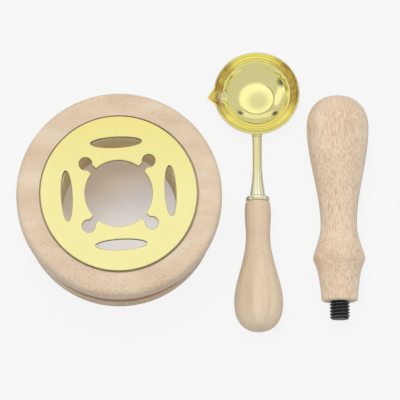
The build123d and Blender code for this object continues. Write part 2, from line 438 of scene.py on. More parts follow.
def wood_material(name, pale, tan_tone, fleck, grain_axis, strip, ring_share, fibre_share, fleck_size,
                  fleck_range, fleck_share, crowding=None, painted_shade_and_light=False):
    """Turned beech: lengthwise strips, faint growth rings, fine fibres and short ray flecks."""
    material, tree, shader = new_material(name)

    def stretched(across, along):
        scale = [across, across, across]
        scale[grain_axis] = along
        return scaled(tree, scale)

    # Strips and clouds of tan, with faint growth rings round the heart of the tree.
    broad = noise(tree, stretched(*strip), roughness=0.55)
    cloud = noise(tree, stretched(*CLOUD_SCALE), roughness=0.6)
    heart = add(tree, "ShaderNodeVectorMath", operation="SUBTRACT")
    tree.links.new(stretched(1.0, 0.0), heart.inputs[0])
    heart.inputs[1].default_value = RING_HEART
    wander = maths(tree, "MULTIPLY", noise(tree, stretched(*WANDER_SCALE)), RING_WANDER)
    radius = maths(tree, "ADD", length_of(tree, heart.outputs["Vector"]), wander)
    rings = span(tree, maths(tree, "FRACT", maths(tree, "MULTIPLY", radius, RINGS_PER_MM)), 0.2, 1.0)
    fibres = noise(tree, stretched(*FIBRE_SCALE), detail=4.0, roughness=0.6)
    cloud = maths(tree, "MULTIPLY", cloud, CLOUD_SHARE)
    tone = maths(tree, "ADD", maths(tree, "MULTIPLY", broad, BROAD_SHARE), cloud)
    tone = maths(tree, "ADD", tone, maths(tree, "MULTIPLY", rings, ring_share))
    grain = maths(tree, "MULTIPLY", maths(tree, "SUBTRACT", fibres, 0.5), fibre_share)
    tone = span(tree, maths(tree, "ADD", tone, grain), *TONE_RANGE)
    colour = blend_colour(tree, tone, pale, tan_tone)
    # Ray flecks: short, thin and darker, thicker in some places than in others.
    strokes = noise(tree, stretched(*fleck_size), detail=2.0, roughness=0.6)
    crowd = maths(tree, "SUBTRACT", noise(tree, stretched(*CROWD_SCALE), detail=2.0), 0.5)
    level = maths(tree, "ADD", strokes, maths(tree, "MULTIPLY", crowd, FLECK_CROWDING))
    if crowding:
        level = maths(tree, "ADD", level, span(tree, coordinate(tree, "Y"), *crowding))
    flecks = span(tree, level, *fleck_range, 0.0, fleck_share)
    colour = blend_colour(tree, flecks, colour, fleck)
    # The stove's wood also carries painted shade in its cove and painted light in its bore.
    if painted_shade_and_light:
        colour = stove_painted_shade_and_light(tree, colour, fleck)
    tree.links.new(colour, shader.inputs["Base Color"])
    rough = span(tree, fibres, 0.2, 0.8, *WOOD_ROUGHNESS)
    tree.links.new(rough, shader.inputs["Roughness"])
    shader.inputs["Specular IOR Level"].default_value = WOOD_SPECULAR
    shader.inputs["Sheen Weight"].default_value = WOOD_SHEEN
    shader.inputs["Sheen Roughness"].default_value = SHEEN_ROUGHNESS
    bump = add(tree, "ShaderNodeBump", **WOOD_BUMP)
    height = maths(tree, "SUBTRACT", fibres, maths(tree, "MULTIPLY", flecks, FLECK_DEPTH))
    tree.links.new(height, bump.inputs["Height"])
    tree.links.new(bump.outputs["Normal"], shader.inputs["Normal"])
    return material


def stove_painted_shade_and_light(tree, colour, shade):
    """Colour of the stove's wood, with painted shade in the foot of the cove and painted light, a brighter
    orange, on the bore's wall.
    """
    height = coordinate(tree, "Z")
    # Painted shade at the foot of the cove, fading out above it.
    below_top = span(tree, height, *COVE_SHADE_END, COVE_SHADE_SHARE, 0.0)
    cove = maths(tree, "MULTIPLY", span(tree, height, *COVE_SHADE_START), below_top)
    # Painted light: a brighter, more orange skin on the bore's wall.
    from_axis = length_of(tree, scaled(tree, (1.0, 1.0, 0.0)))
    bore = span(tree, from_axis, *BORE_WALL_LIGHT_SKIN, BORE_WALL_PAINTED_LIGHT_SHARE, 0.0)
    return blend_colour(tree, bore, blend_colour(tree, cove, colour, shade), BORE_WALL_PAINTED_LIGHT)


def rim_reflection_share(tree):
    """Share of painted reflection, a darker warmer brown, on the bowl's rim: at the pouring lip's side and
    across from it.
    """
    radius = length_of(tree, scaled(tree, (1.0, 0.0, 1.0)))
    across = maths(tree, "MULTIPLY", maths(tree, "ABSOLUTE", coordinate(tree, "X")), cos(RIM_REFLECTION_LEAN))
    along = maths(tree, "MULTIPLY", coordinate(tree, "Z"), sin(RIM_REFLECTION_LEAN))
    sideways = maths(tree, "DIVIDE", maths(tree, "ADD", across, along), radius)
    share = span(tree, sideways, *RIM_REFLECTION_SIDES)
    share = maths(tree, "MULTIPLY", share, span(tree, radius, *RIM_REFLECTION_START))
    share = maths(tree, "MULTIPLY", share, span(tree, radius, *RIM_REFLECTION_END, 1.0, 0.0))
    patches = span(tree, noise(tree, scaled(tree, RIM_REFLECTION_PATCHES), detail=2.0), 0.3, 0.6, 0.5, 1.0)
    return maths(tree, "MULTIPLY", share, patches)


def metal_material(name, colour, shade, roughness, brush, lacquer=0.0, lean=None, lean_axis="Y",
                   edge_painted_shade=None, rim_painted_reflection=None):
    """Polished or satin brass: cloudiness in the colour, fine marks in the polish, painted shade on upright
    edges.

    With a lean, the colour also goes over into the shade between two places on an axis: a painted reflection
    or highlight.
    """
    material, tree, shader = new_material(name)
    tone = span(tree, noise(tree, scaled(tree, BRASS_CLOUDS)), 0.3, 0.7)
    if lean:
        across = span(tree, coordinate(tree, lean_axis), *lean, 0.0, 1.0 - CLOUD_IN_LEAN)
        tone = maths(tree, "ADD", maths(tree, "MULTIPLY", tone, CLOUD_IN_LEAN), across)
    tint = blend_colour(tree, tone, colour, shade)
    if edge_painted_shade:
        # Painted shade on upright faces, such as the plate's rim and the walls of its holes.
        facing = add(tree, "ShaderNodeSeparateXYZ")
        tree.links.new(add(tree, "ShaderNodeTexCoord").outputs["Normal"], facing.inputs["Vector"])
        upright = span(tree, maths(tree, "ABSOLUTE", facing.outputs["Z"]), *EDGE_SHADE_FACING, 1.0, 0.0)
        tint = blend_colour(tree, upright, tint, edge_painted_shade)
    # Painted reflection: a darker, warmer brown on the rim's sides.
    if rim_painted_reflection:
        tint = blend_colour(tree, rim_reflection_share(tree), tint, rim_painted_reflection)
        # Painted reflection: a more saturated gold on the pouring lip.
        tint = blend_colour(tree, span(tree, coordinate(tree, "X"), *LIP_REFLECTION_SPAN), tint, LIP_PAINTED_REFLECTION)
    tree.links.new(tint, shader.inputs["Base Color"])
    marks = noise(tree, scaled(tree, brush), detail=5.0, roughness=0.65)
    low, high = roughness
    tree.links.new(span(tree, marks, 0.3, 0.7, low, high), shader.inputs["Roughness"])
    shader.inputs["Metallic"].default_value = 1.0
    shader.inputs["Coat Weight"].default_value = lacquer
    shader.inputs["Coat Roughness"].default_value = low
    bump = add(tree, "ShaderNodeBump", **POLISH_BUMP)
    tree.links.new(marks, bump.inputs["Height"])
    tree.links.new(bump.outputs["Normal"], shader.inputs["Normal"])
    return material


def thread_material():
    """Black oxide on steel: nearly black, with a soft sheen and paler crests, partly worn and partly a
    painted highlight.
    """
    material, tree, shader = new_material("black_steel")
    speckle = noise(tree, scaled(tree, OXIDE_SPECKLES), detail=4.0)
    from_axis = length_of(tree, scaled(tree, (1.0, 1.0, 0.0)))
    # Paler crests: partly wear, partly a painted highlight.
    crest = span(tree, from_axis, STUD_RADIUS - THREAD_DEPTH / 2, STUD_RADIUS)
    wear_and_highlight = maths(tree, "MULTIPLY", crest, span(tree, speckle, 0.3, 0.6, 0.35, 1.0))
    tree.links.new(blend_colour(tree, wear_and_highlight, BLACK_OXIDE, WORN_STEEL_AND_HIGHLIGHT), shader.inputs["Base Color"])
    tree.links.new(span(tree, speckle, 0.3, 0.7, *OXIDE_ROUGHNESS), shader.inputs["Roughness"])
    shader.inputs["Metallic"].default_value = OXIDE_METALLIC
    return material


stove_wood = wood_material(
    "stove_wood", linear(234, 214, 188), linear(216, 190, 160), linear(178, 140, 112),
    grain_axis=0, strip=(0.12, 0.05), ring_share=0.05, fibre_share=0.5, fleck_size=(1.9, 0.8),
    fleck_range=(0.57, 0.67), fleck_share=0.55, crowding=(-38.0, -10.0, 0.03, -0.04), painted_shade_and_light=True,
)
spoon_wood = wood_material(
    "spoon_wood", linear(237, 219, 189), linear(220, 194, 167), linear(190, 160, 130),
    grain_axis=2, strip=(0.3, 0.006), ring_share=0.05, fibre_share=0.45, fleck_size=(1.8, 0.5),
    fleck_range=(0.68, 0.75), fleck_share=0.4,
)
stamp_wood = wood_material(
    "stamp_wood", linear(246, 227, 201), linear(233, 209, 179), linear(199, 155, 124),
    grain_axis=2, strip=(0.16, 0.012), ring_share=0.12, fibre_share=0.9, fleck_size=(3.3, 0.17),
    fleck_range=(0.49, 0.6), fleck_share=0.6,
)
# The plate darkens towards its far side, a painted reflection, and its upright edges carry painted shade.
plate_brass = metal_material(
    "plate_brass", (0.99, 0.92, 0.43), (0.95, 0.84, 0.3), (0.3, 0.34), (0.3, 2.0, 1.0),
    lean=(0.0, 30.0), edge_painted_shade=(0.16, 0.11, 0.035),
)
bowl_gold = metal_material(
    "bowl_gold", (0.955, 0.89, 0.385), (0.93, 0.85, 0.36), (0.03, 0.07), (1.0, 1.0, 1.0),
    lacquer=0.3, rim_painted_reflection=(0.42, 0.27, 0.085),
)
# The stem goes over from a darker rod to a near-white ferrule: painted reflection and painted highlight.
stem_gold = metal_material(
    "stem_gold", (0.83, 0.76, 0.35), (1.0, 0.98, 0.7), (0.05, 0.1), (2.0, 2.0, 0.1),
    lacquer=0.9, lean=(27.0, 40.0), lean_axis="Z",
)
black_steel = thread_material()


# ------------------------------------------------------------------ stove
def make_stove_body():
    """Turned spool: base, cove, flange and recess outside, with a plain bore through it."""
    mouth = STOVE_HEIGHT - RECESS_DEPTH
    shelf = STOVE_HEIGHT - FLANGE_THICKNESS
    lower = rounded([
        (BORE_RADIUS, mouth / 2, 0),
        (BORE_RADIUS, 0, SOFT_EDGE),
        (BASE_RADIUS, 0, BASE_ROUND),
        (BASE_RADIUS, BASE_THICKNESS, BASE_ROUND),
        (COVE_EDGE_RADIUS, BASE_THICKNESS, 0),
    ])
    half = (shelf - BASE_THICKNESS) / 2
    sagitta = COVE_EDGE_RADIUS - WAIST_RADIUS
    cove_radius = (half * half + sagitta * sagitta) / (2 * sagitta)
    reach = asin(half / cove_radius)
    cove = []
    for step in range(1, COVE_STEPS):
        angle = -reach + 2 * reach * step / COVE_STEPS
        radius = WAIST_RADIUS + cove_radius * (1 - cos(angle))
        cove.append((radius, BASE_THICKNESS + half + cove_radius * sin(angle)))
    upper = rounded([
        (COVE_EDGE_RADIUS, shelf, 0),
        (FLANGE_RADIUS, shelf, FLANGE_UNDER_ROUND),
        (FLANGE_RADIUS, STOVE_HEIGHT, FLANGE_TOP_ROUND),
        (RECESS_RADIUS, STOVE_HEIGHT, SOFT_EDGE),
        (RECESS_RADIUS, mouth, RECESS_CORNER),
        (BORE_RADIUS, mouth, SOFT_EDGE),
        (BORE_RADIUS, mouth / 2, 0),
    ])
    body = lathe("stove_body_turned", lower + cove + upper[:-1], Matrix.Identity(4), 256, closed=True)
    # The photograph's things were pictured one by one, so this wood shows in no metal.
    body.visible_glossy = False
    dress(body, "stove", stove_wood, "stove_wood", "stove_body")


def keyhole_outline():
    """Edge of the middle hole with four keyholes opening out of it, as (x, y) points."""
    corner_steps, lobe_steps, arc_steps = 5, 40, 24
    half_neck = KEYHOLE_NECK / 2
    points = []
    # Rounded corner between the hole's edge and the neck's side: its centre lies in the metal.
    off = half_neck + KEYHOLE_CORNER
    centre_along = sqrt((PLATE_HOLE_RADIUS + KEYHOLE_CORNER) ** 2 - off * off)
    mouth = atan2(off, centre_along)
    lobe = asin(half_neck / KEYHOLE_RADIUS)
    for index in range(4):
        heading = PATTERN_TURN + pi / 4 + index * pi / 2
        along = Vector((cos(heading), sin(heading)))
        side = Vector((-sin(heading), cos(heading)))
        local = []
        for step in range(corner_steps + 1):
            spoke = Vector((-cos(mouth), sin(mouth))).lerp(Vector((0, 1)), step / corner_steps)
            local.append(Vector((centre_along, -off)) + spoke.normalized() * KEYHOLE_CORNER)
        for step in range(lobe_steps + 1):
            angle = pi + lobe + (2 * pi - 2 * lobe) * step / lobe_steps
            local.append(Vector((KEYHOLE_CIRCLE, 0)) + KEYHOLE_RADIUS * Vector((cos(angle), sin(angle))))
        for point in reversed(local[:corner_steps + 1]):
            local.append(Vector((point.x, -point.y)))
        points += [along * p.x + side * p.y for p in local]
        start = heading + mouth
        sweep = pi / 2 - 2 * mouth
        for step in range(1, arc_steps):
            angle = start + sweep * step / arc_steps
            points.append(PLATE_HOLE_RADIUS * Vector((cos(angle), sin(angle))))
    return points


def make_plate():
    """Brass disc cut with a middle hole, four keyholes and four slots, its edges barely broken."""
    curve = bpy.data.curves.new("plate_outline", "CURVE")
    curve.dimensions = "2D"
    curve.fill_mode = "BOTH"
    curve.extrude = (PLATE_THICKNESS / 2 - PLATE_EDGE) * MM
    curve.bevel_depth = PLATE_EDGE * MM
    curve.bevel_resolution = 3
    curve.offset = -PLATE_EDGE * MM

    def ring(points):
        spline = curve.splines.new("POLY")
        spline.points.add(len(points) - 1)
        for slot, point in zip(spline.points, points):
            slot.co = (point[0] * MM, point[1] * MM, 0, 1)
        spline.use_cyclic_u = True

    rim_steps = 240
    slot_steps = 96
    ring([(PLATE_RADIUS * cos(2 * pi * s / rim_steps), PLATE_RADIUS * sin(2 * pi * s / rim_steps))
          for s in range(rim_steps)])
    ring(keyhole_outline())
    for index in range(4):
        heading = PATTERN_TURN + index * pi / 2
        along = Vector((cos(heading), sin(heading)))
        side = Vector((-sin(heading), cos(heading)))
        slot_points = []
        for step in range(slot_steps):
            angle = 2 * pi * step / slot_steps
            radial = SLOT_CIRCLE + SLOT_WIDTH / 2 * cos(angle)
            slot_points.append(along * radial + side * (SLOT_LENGTH / 2 * sin(angle)))
        ring(slot_points)
    outline = bpy.data.objects.new("plate_outline", curve)
    bpy.context.scene.collection.objects.link(outline)
    bpy.context.view_layer.update()
    mesh = bpy.data.meshes.new_from_object(outline)
    bpy.data.objects.remove(outline)
    mesh.name = "stove_plate_cut"
    mesh.shade_smooth()
    mesh.set_sharp_from_angle(angle=radians(40))
    # The flat faces stay flat: each edge between one and the broken edge is sharp.
    flat = {p.index for p in mesh.polygons if abs(p.normal.z) > 0.9999}
    users = {}
    for polygon in mesh.polygons:
        for key in polygon.edge_keys:
            users.setdefault(key, []).append(polygon.index in flat)
    for edge in mesh.edges:
        kinds = users.get(edge.key, [])
        if True in kinds and False in kinds:
            edge.use_edge_sharp = True
    plate = bpy.data.objects.new("stove_plate_cut", mesh)
    bpy.context.scene.collection.objects.link(plate)
    middle = STOVE_HEIGHT - RECESS_DEPTH + PLATE_THICKNESS / 2
    plate.matrix_world = Matrix.Translation(Vector((*PLATE_DRIFT, middle)) * MM)
    dress(plate, "plate", plate_brass, "brass_plate", "stove_plate")


# ------------------------------------------------------------------ spoon
def end_centre(node, direction):
    """Middle of the flat end face that a turned node has at its far end in a direction."""
    points = [v.co for v in nodes[node].data.vertices]
    reach = max(p.dot(direction) for p in points)
    face = [p for p in points if p.dot(direction) > reach - END_FACE_BAND * MM]
    low = Vector(min(p[i] for p in face) for i in range(3))
    high = Vector(max(p[i] for p in face) for i in range(3))
    return (low + high) / 2


rod_foot = end_centre("spoon_stem", Vector((0, 1, 0)))
tang_end = end_centre("spoon_stem", Vector((0, -1, 0)))
spoon_line = (tang_end - rod_foot).normalized()
spoon_place = place_along(rod_foot - spoon_line * SOCKET_REACH * MM, spoon_line)


def bowl_inside():
    """Inside of the bowl as (radius, height), from the axis over the ridge to the rim."""
    steps, corner_steps, rim_steps = 16, 8, 12
    floor = []
    reach = asin(BOWL_WELL[0] / BOWL_FLOOR_SPHERE)
    for step in range(steps - 1):
        angle = reach * step / steps
        floor.append((BOWL_FLOOR_SPHERE * sin(angle), BOWL_FLOOR_SPHERE * (1 - cos(angle))))
    step_up = rounded([
        (*floor[-1], 0),
        (*BOWL_WELL, BOWL_WELL_ROUND),
        (*BOWL_RIDGE, BOWL_RIDGE_ROUND),
        (*BOWL_GROOVE, BOWL_GROOVE_ROUND),
        (*BOWL_RIM, 0),
    ], corner_steps)
    # The rim's wall is dished a little between the groove and the edge.
    start, end = Vector(step_up[-2]), Vector(step_up[-1])
    outwards = Vector((end.y - start.y, start.x - end.x)).normalized()
    dished = []
    for step in range(1, rim_steps + 1):
        share = step / rim_steps
        dished.append(tuple(start.lerp(end, share) + outwards * 4 * RIM_DISH * share * (1 - share)))
    return floor[:-1] + step_up[:-1] + dished


def beside(line, distance):
    """Points beside each point of an open line, to its right."""
    points = []
    for index, (x, y) in enumerate(line):
        before = Vector(line[max(index - 1, 0)])
        after = Vector(line[min(index + 1, len(line) - 1)])
        heading = (after - before).normalized()
        points.append((x + distance * heading.y, y - distance * heading.x))
    points[0] = (0.0, line[0][1] - distance)
    return points


def smooth_min(first, second, blend):
    """The lower of two heights, with the corner between them rounded."""
    mix = max(blend - abs(first - second), 0.0) / blend
    return min(first, second) - mix * mix * blend / 4


def spout_shift(radius, height, angle):
    """How far the pouring lip's press moves a point of the bowl's inside: outwards and up."""
    width = radius * angle
    share = min(max((radius - SPOUT_START) / (BOWL_RIM[0] - SPOUT_START), 0.0), 1.0)
    flank = max(1 - abs(width) / (SPOUT_WIDTH / 2), 0.0)
    reach = SPOUT_REACH * share * share * (3 - 2 * share) * flank ** SPOUT_TAPER
    out = radius + reach
    slope = (TROUGH_TIP[1] - TROUGH_FOOT[1]) / (TROUGH_TIP[0] - TROUGH_FOOT[0])
    trough = TROUGH_FOOT[1] + slope * (out - TROUGH_FOOT[0]) + TROUGH_SLOPE * abs(width)
    if abs(angle) > SPOUT_SECTOR:
        return 0.0, 0.0
    begin = min(max((radius - TROUGH_START) / TROUGH_EASE, 0.0), 1.0)
    return reach, (smooth_min(height, trough, TROUGH_BLEND) - height) * begin


def make_bowl():
    """Pressed bowl: one wall from the well over the ridge to the rim, with the lip folded in."""
    lip_steps = 8
    fine, coarse, fine_sector = radians(0.5), radians(2.0), radians(30.0)
    inner = bowl_inside()
    outer = beside(inner, BOWL_WALL)
    heading = atan2(inner[-1][1] - inner[-2][1], inner[-1][0] - inner[-2][0])
    centre = (Vector(inner[-1]) + Vector(outer[-1])) / 2
    lip = []
    for step in range(1, lip_steps):
        angle = heading + pi / 2 - pi * step / lip_steps
        lip.append((centre.x + BOWL_WALL / 2 * cos(angle), centre.y + BOWL_WALL / 2 * sin(angle)))
    # Each point of the wall, and the inside point whose press it follows.
    outline = list(zip(inner, inner)) + [(point, inner[-1]) for point in lip]
    outline += list(zip(outer, inner))[::-1]

    # Angles, closer together at the pouring lip.
    angles = []
    angle = -pi
    while angle < pi - 1e-9:
        angles.append(angle)
        angle += fine if abs(angle) < fine_sector else coarse

    vertices, rings = [], []
    for (radius, height), (guide_radius, guide_height) in outline:
        if radius < ON_AXIS:
            rings.append([len(vertices)])
            vertices.append((0, height, 0))
            continue
        ring = []
        for angle in angles:
            out, up = spout_shift(guide_radius, guide_height, angle)
            ring.append(len(vertices))
            vertices.append(((radius + out) * cos(angle), height + up, (radius + out) * sin(angle)))
        rings.append(ring)
    # Bowl's own place: local Y up its axis, local X towards the pouring lip.
    stem_side = spoon_place.to_3x3() @ Vector((0, 0, 1))
    up = spoon_place.to_3x3() @ Vector((0, 1, 0))
    axis = up * cos(BOWL_TILT) - stem_side * sin(BOWL_TILT)
    stem_side = stem_side * cos(BOWL_TILT) + up * sin(BOWL_TILT)
    left = stem_side.cross(axis)
    spout_side = stem_side * cos(SPOUT_ANGLE) + left * sin(SPOUT_ANGLE) * (-1 if left.x > 0 else 1)
    third = spout_side.cross(axis)
    place = Matrix((spout_side, axis, third)).transposed().to_4x4()
    place.translation = spoon_place.translation - axis * (SOCKET_HEIGHT - BOWL_WALL) * MM
    bowl = new_object("spoon_bowl_pressed", vertices, skin(rings), place, radians(60))
    dress(bowl, "spoon", bowl_gold, "gold_bowl", "spoon_bowl")


def make_socket():
    """Socket on the bowl, from inside the bowl's wall out to the face that carries the stem."""
    def socket_start(y):
        """Where a line of the socket's skin starts: under the ridge, or inside the rim's wall."""
        climb = (BOWL_RIM[0] - BOWL_GROOVE[0]) / (BOWL_RIM[1] - BOWL_GROOVE[1])
        start = SOCKET_REACH
        # The start and the height there depend on each other; four rounds settle them.
        for _ in range(4):
            height = SOCKET_HEIGHT + y - start * sin(BOWL_TILT) - BOWL_WALL
            if height < BOWL_GROOVE[1] - BOWL_WALL / 2:
                return SOCKET_ROOT
            start = BOWL_GROOVE[0] + SOCKET_BITE + climb * (height - BOWL_GROOVE[1])
        return start

    steps = 48
    vertices = []
    for ring in range(3):
        for step in range(steps):
            angle = 2 * pi * step / steps
            radius = SOCKET_RADIUS - (SOCKET_EDGE if ring == 2 else 0.0)
            along = SOCKET_REACH - (SOCKET_EDGE if ring == 1 else 0.0)
            if ring == 0:
                along = socket_start(radius * sin(angle))
            vertices.append((radius * cos(angle), radius * sin(angle), along))
    socket = new_object("spoon_socket", vertices, tube_faces(3, steps), spoon_place, radians(50))
    dress(socket, "spoon", bowl_gold, "gold_bowl")


def make_stem():
    """Rod, ferrule, flange bead and the tang inside the handle, turned in one."""
    bead_steps = 12
    bead_half = (HANDLE_START - FERRULE_END) / 2
    outline = [(0.0, SOCKET_REACH), (ROD_RADIUS, SOCKET_REACH), (ROD_RADIUS, ROD_END)]
    flare = swept((ROD_END, ROD_RADIUS), (FERRULE_END, FERRULE_RADIUS), *FERRULE_SLOPES)
    outline += [(radius, along) for along, radius in flare]
    bead_edge = FLANGE_BEAD_RADIUS - bead_half
    for step in range(bead_steps + 1):
        angle = -pi / 2 + pi * step / bead_steps
        outline.append((bead_edge + bead_half * cos(angle), FERRULE_END + bead_half + bead_half * sin(angle)))
    outline += [
        (TANG_RADIUS, HANDLE_START),
        (TANG_RADIUS, HANDLE_START + TANG_LENGTH),
        (0.0, HANDLE_START + TANG_LENGTH),
    ]
    stem = lathe("spoon_stem_turned", outline, spoon_place, 96)
    dress(stem, "spoon", stem_gold, "gold_stem", "spoon_stem")


def make_spoon_handle():
    """Turned handle with a blind hole for the tang, about the spoon's line."""
    outline = [(0.0, TANG_LENGTH + TIP_CLEARANCE), (TANG_RADIUS, TANG_LENGTH + TIP_CLEARANCE)]
    outline += rounded([
        (TANG_RADIUS, 0, 0),
        (SPOON_NOSE_RADIUS, 0, SPOON_NOSE_ROUND),
        (SPOON_BEAD_START[1], SPOON_BEAD_START[0], 0),
    ])
    runs = swept(SPOON_BEAD_START, SPOON_BEAD, SPOON_BEAD_SLOPE, 0.0, 8)
    runs += swept(SPOON_BEAD, SPOON_WAIST, 0.0, 0.0, 16)
    runs += swept(SPOON_WAIST, SPOON_FLANK, 0.0, SPOON_FLANK_SLOPE, 18)
    runs += swept(SPOON_FLANK, SPOON_BELLY, SPOON_FLANK_SLOPE, 0.0, 18)
    runs += dome(SPOON_BELLY, SPOON_HANDLE_LENGTH, BELLY_FULLNESS)[1:]
    outline += [(radius, along) for along, radius in runs]
    outline = [(radius, along + HANDLE_START) for radius, along in outline]
    handle = lathe("spoon_handle_turned", outline, spoon_place, 128, sharp=radians(50))
    dress(handle, "spoon", spoon_wood, "spoon_wood", "spoon_handle")


# ------------------------------------------------------------------ stamp
stud_mount = mounts["seal_stud"]
stamp_line = Vector(stud_mount["axis"]).normalized()
stud_middle = STAMP_LENGTH + (STUD_LENGTH - STUD_CHAMFER) / 2
stamp_place = place_along(Vector(stud_mount["pos_m"]) - stamp_line * stud_middle * MM, stamp_line)


def make_stamp_handle():
    """Turned handle with a full round head, a neck, a collar, a waist and a foot for the stud."""
    foot_steps = 6
    runs = dome(STAMP_HEAD, 0.0, HEAD_FULLNESS)[::-1]
    runs += swept(STAMP_HEAD, STAMP_NECK, 0.0, 0.0, 40)
    before = (STAMP_COLLAR[0] - COLLAR_HALF_WIDTH, STAMP_COLLAR[1] - COLLAR_DROPS[0])
    after = (STAMP_COLLAR[0] + COLLAR_HALF_WIDTH, STAMP_COLLAR[1] - COLLAR_DROPS[1])
    foot = (STAMP_LENGTH - STAMP_FOOT_ROUND, STAMP_FOOT_RADIUS)
    runs += swept(STAMP_NECK, before, 0.0, COLLAR_SLOPE, 24)
    runs += swept(before, STAMP_COLLAR, COLLAR_SLOPE, 0.0, 10)
    runs += swept(STAMP_COLLAR, after, 0.0, -COLLAR_SLOPE, 10)
    runs += swept(after, STAMP_WAIST, COLLAR_FOOT_SLOPE, STAMP_WAIST_SLOPE, 12)
    runs += swept(STAMP_WAIST, foot, STAMP_WAIST_SLOPE, STAMP_FOOT_SLOPE, 16)
    outline = [(radius, along) for along, radius in runs]
    for step in range(1, foot_steps + 1):
        angle = pi / 2 * step / foot_steps
        outline.append((
            STAMP_FOOT_RADIUS - STAMP_FOOT_ROUND * (1 - cos(angle)),
            STAMP_LENGTH - STAMP_FOOT_ROUND * (1 - sin(angle)),
        ))
    depth = STAMP_LENGTH - STUD_BURIED - TIP_CLEARANCE
    outline += [(STUD_SHANK_RADIUS, STAMP_LENGTH), (STUD_SHANK_RADIUS, depth), (0.0, depth)]
    handle = lathe("stamp_handle_turned", outline, stamp_place, 160, sharp=radians(50))
    handle.visible_glossy = False
    dress(handle, "stamp", stamp_wood, "stamp_wood", "stamp_handle")


def make_stud():
    """Stud with its thread outside the handle and a plain shank inside it."""
    steps, rows_a_turn = 96, 12
    start, end = STAMP_LENGTH - STUD_BURIED, STAMP_LENGTH + STUD_LENGTH
    thread_rows = round(STUD_LENGTH / THREAD_PITCH * rows_a_turn)
    rows = [start, STAMP_LENGTH]
    rows += [STAMP_LENGTH + STUD_LENGTH * row / thread_rows for row in range(thread_rows + 1)]

    def crest(along, angle):
        """Radius of a 60 degree thread with flat crests and eased roots, run out at its end."""
        phase = (along / THREAD_PITCH - angle / (2 * pi)) % 1.0
        fall = min(max((abs(phase - 0.5) * 2 - THREAD_CREST) / THREAD_FLANK, 0.0), 1.0)
        fall = fall if fall < THREAD_ROOT else (fall + THREAD_ROOT) / 2
        limit = STUD_RADIUS - max(0.0, THREAD_RUN_OUT - (end - along))
        return min(STUD_RADIUS - THREAD_DEPTH * fall, limit)

    vertices = []
    for row, along in enumerate(rows):
        for step in range(steps):
            angle = 2 * pi * step / steps
            radius = STUD_SHANK_RADIUS if row < 2 else crest(along, angle)
            vertices.append((radius * cos(angle), radius * sin(angle), along))
    faces = tube_faces(len(rows), steps)
    stud = new_object("stamp_stud_thread", vertices, faces, stamp_place, radians(28))
    dress(stud, "stamp", black_steel, "black_steel", "stamp_stud")


make_stove_body()
make_plate()
make_bowl()
make_socket()
make_stem()
make_spoon_handle()
make_stamp_handle()
make_stud()

# ------------------------------------------------------------------ floor, light and camera
PIXELS = 400
PIXELS_PER_MM = 2.556
CAMERA_DISTANCE = 6.0
CAMERA_ELEVATION = radians(79.5)
CAMERA_SENSOR = 36.0
CAMERA_CLIP_END = 50.0
VIEW_CENTRE = Vector((31.45, 5.0, 0.0)) * MM
KEY_PLACE = (-0.25, 0.75, 2.8)
KEY_TARGET = (0.03, 0.0, 0.0)
KEY_SIZE = 0.8
KEY_POWER = 21

# Light tent: directions, levels (1 is white) and where each part begins and ends
PANEL_DIRECTION = (0.0, 0.47, 0.88)
PANEL_EDGE = radians(30.0)
PANEL_SOFT = (radians(-1.0), radians(5.0))
PANEL_LEVEL = 1.08
CORE_DIRECTION = (-0.04, 0.52, 0.85)
CORE_SPAN = (radians(11.0), radians(24.0))
CORE_LEVEL = 0.79
SEAM_WIDTH = radians(1.8)
SEAM_LEVEL = 0.25
SEAM_SIDE = (-1.0, 0.9, 0.0)
SEAM_SHOWN = (0.1, 0.35)
WALL_LEVEL = 0.655
LOW_WALL = (0.06, 0.2)
LOW_LEVEL = 0.9
SIDE_WALL = (0.86, 0.93)
SIDE_LEVEL = 0.95
HORIZON = (0.955, 0.975)
HORIZON_LEVEL = 0.1
WINDOW_DIRECTION = (-0.67, 0.34, 0.65)
WINDOW_SIZE = (radians(16.0), radians(5.0), radians(6.0))
WINDOW_LEVEL = 1.05
BACK_DIRECTION = (0.0, 0.9, 0.43)
BACK_SIZE = (radians(26.0), radians(4.0), radians(4.0))
BACK_LEVEL = 0.9
DARK_LEVEL = 0.12
TENT_SEEN = 0.93
# Each dark spot: its direction, and how far from it the tent is dark and is clear again
DARK_SPOTS = (
    ((-0.77, -0.07, 0.63), radians(4), radians(13)),
    ((0.43, 0.82, 0.39), radians(2), radians(7)),
    ((-0.465, 0.82, 0.335), radians(2), radians(7)),
)

# Floor: plain white paper, with painted shade, dimmer and warmer, and painted light where the camera sees it
# through the stove's bore
FLOOR_REACH = 6.0
FLOOR_ROUGHNESS = 0.9
FLOOR_PAPER = 0.55
BORE_PAPER_PAINTED_BOUNCE = (0.9, 0.84, 0.78)
FLOOR_WHITE = 0.972
FLOOR_GLOW = 0.9
FLOOR_MIRRORED = 0.15
BORE_PAINTED_LIGHT_DIRECTION = (0.4, -0.9, 0.0)
BORE_PAINTED_LIGHT_SPAN = (-14.0, 9.0)
BORE_PAINTED_GLOW = (0.2, 0.47)
BORE_SHADE_TO_LIGHT_SPAN = (0.05, 0.5)
BORE_PAINTED_SHADE = (1.0, 0.83, 0.72)
BORE_PAINTED_LIGHT = (0.93, 0.93, 0.99)


